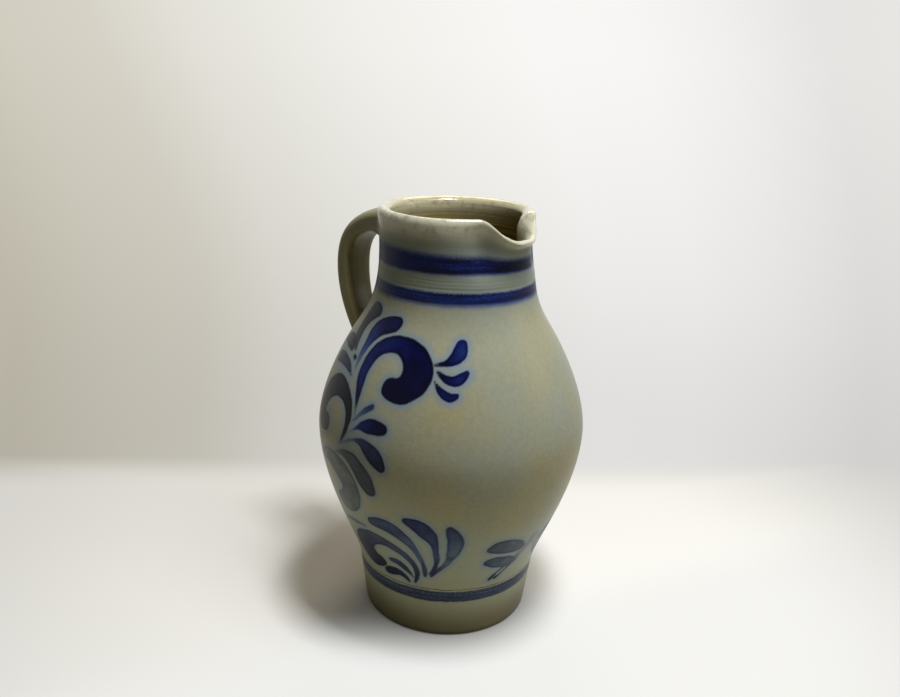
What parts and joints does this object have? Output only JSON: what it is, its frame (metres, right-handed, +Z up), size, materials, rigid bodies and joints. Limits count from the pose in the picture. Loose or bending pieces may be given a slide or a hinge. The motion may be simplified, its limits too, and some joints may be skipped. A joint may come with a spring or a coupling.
{
  "type": "stoneware serving jug",
  "caption": "Free-standing salt-glazed stoneware serving jug with a swelling belly, straight neck, rolled rim, pulled pouring lip and a strap handle luted on with clay slip.",
  "frame": {"origin": "centre of the foot, on the table", "axes": "+Z up along the jug's axis, +X towards the pouring lip, so that the handle is on -X and XZ is the mirror plane"},
  "size_m": [0.164, 0.1506, 0.235],
  "materials": {
    "salt_glazed_stoneware": "salt glaze, satin gloss, with cobalt brushwork",
    "salt_glazed_strap": "salt glaze, satin gloss, undecorated",
    "fired_slip": "fired clay slip under the same salt glaze"
  },
  "bodies": {
    "root": {"thrown_body": "salt_glazed_stoneware", "strap_handle": "salt_glazed_strap", "upper_slip_joint": "fired_slip", "lower_slip_joint": "fired_slip"}
  },
  "joints": []
}
